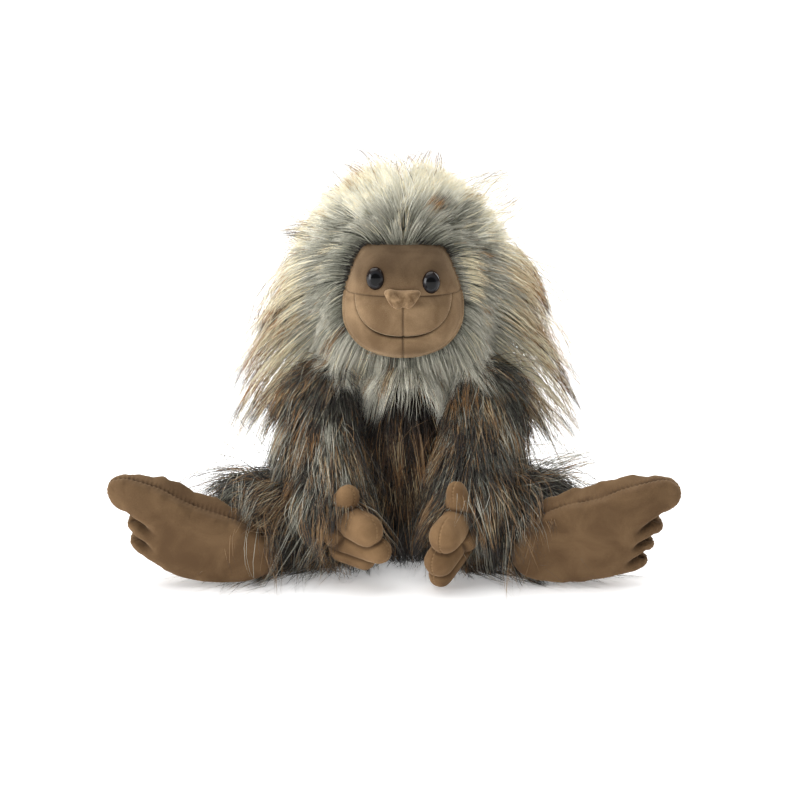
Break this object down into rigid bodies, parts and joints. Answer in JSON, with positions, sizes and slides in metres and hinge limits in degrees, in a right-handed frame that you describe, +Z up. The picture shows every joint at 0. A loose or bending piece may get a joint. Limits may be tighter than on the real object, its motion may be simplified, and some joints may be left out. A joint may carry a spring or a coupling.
{
  "type": "stuffed monkey",
  "caption": "Seated long-furred plush monkey with a velour face, hands and large feet, and a head and limbs that turn at soft seams.",
  "frame": {"origin": "centre of the flat seat under the torso", "axes": "+Z up, the toy faces -Y, its own left side is +X"},
  "size_m": [0.363, 0.1894, 0.247],
  "materials": {
    "fur": "long frosted pile, grey at the root, cream to brown with dark tips",
    "velour": "short velour",
    "eye": "polished dark brown",
    "washer": "moulded",
    "stuffing": "loose polyester fibre",
    "pellets": "closed cloth bag of plastic pellets"
  },
  "bodies": {
    "torso": {"torso_front_panel": "fur", "torso_back_panel": "fur", "torso_stuffing": "stuffing", "pellet_bag": "pellets"},
    "neck": {"neck_tube": "fur"},
    "head": {"hood_left_panel": "fur", "hood_right_panel": "fur", "forehead_panel": "velour", "muzzle_left_panel": "velour", "muzzle_right_panel": "velour", "chin_left_panel": "velour", "chin_right_panel": "velour", "nose": "velour", "left_eye": "eye", "right_eye": "eye", "left_eye_washer": "washer", "right_eye_washer": "washer", "head_stuffing": "stuffing"},
    "left_arm": {"left_arm_outer_panel": "fur", "left_arm_inner_panel": "fur", "left_arm_stuffing": "stuffing"},
    "left_hand": {"left_hand_palm": "velour", "left_hand_back": "velour", "left_hand_stuffing": "stuffing"},
    "left_leg": {"left_leg_outer_panel": "fur", "left_leg_inner_panel": "fur", "left_leg_stuffing": "stuffing"},
    "left_foot": {"left_foot_sole": "velour", "left_foot_upper": "velour", "left_foot_stuffing": "stuffing"},
    "right_arm": {"right_arm_outer_panel": "fur", "right_arm_inner_panel": "fur", "right_arm_stuffing": "stuffing"},
    "right_hand": {"right_hand_palm": "velour", "right_hand_back": "velour", "right_hand_stuffing": "stuffing"},
    "right_leg": {"right_leg_outer_panel": "fur", "right_leg_inner_panel": "fur", "right_leg_stuffing": "stuffing"},
    "right_foot": {"right_foot_sole": "velour", "right_foot_upper": "velour", "right_foot_stuffing": "stuffing"}
  },
  "joints": [
    {"name": "neck_turn", "type": "hinge", "parent": "torso", "child": "neck", "pos_m": [0, 0.002, 0.129], "axis": [0, 0, 1], "range_deg": [-40, 40]},
    {"name": "neck_nod", "type": "hinge", "parent": "neck", "child": "head", "pos_m": [0, 0.002, 0.129], "axis": [1, 0, 0], "range_deg": [-15, 12]},
    {"name": "left_shoulder", "type": "hinge", "parent": "torso", "child": "left_arm", "pos_m": [0.052, -0.003, 0.103], "axis": [-1, 0, 0], "range_deg": [0, 45]},
    {"name": "left_wrist", "type": "hinge", "parent": "left_arm", "child": "left_hand", "pos_m": [0.04, -0.066, 0.046], "axis": [-1, 0, 0], "range_deg": [-15, 20]},
    {"name": "left_hip", "type": "hinge", "parent": "torso", "child": "left_leg", "pos_m": [0.044, -0.02, 0.028], "axis": [-1, 0, 0], "range_deg": [-60, 25]},
    {"name": "left_ankle", "type": "hinge", "parent": "left_leg", "child": "left_foot", "pos_m": [0.086, -0.046, 0.036], "axis": [0, 0, 1], "range_deg": [-12, 15]},
    {"name": "right_shoulder", "type": "hinge", "parent": "torso", "child": "right_arm", "pos_m": [-0.052, -0.003, 0.103], "axis": [-1, 0, 0], "range_deg": [0, 45]},
    {"name": "right_wrist", "type": "hinge", "parent": "right_arm", "child": "right_hand", "pos_m": [-0.046, -0.066, 0.046], "axis": [-1, 0, 0], "range_deg": [-15, 20]},
    {"name": "right_hip", "type": "hinge", "parent": "torso", "child": "right_leg", "pos_m": [-0.044, -0.02, 0.028], "axis": [-1, 0, 0], "range_deg": [-60, 25]},
    {"name": "right_ankle", "type": "hinge", "parent": "right_leg", "child": "right_foot", "pos_m": [-0.097, -0.046, 0.036], "axis": [0, 0, -1], "range_deg": [-12, 15]}
  ]
}
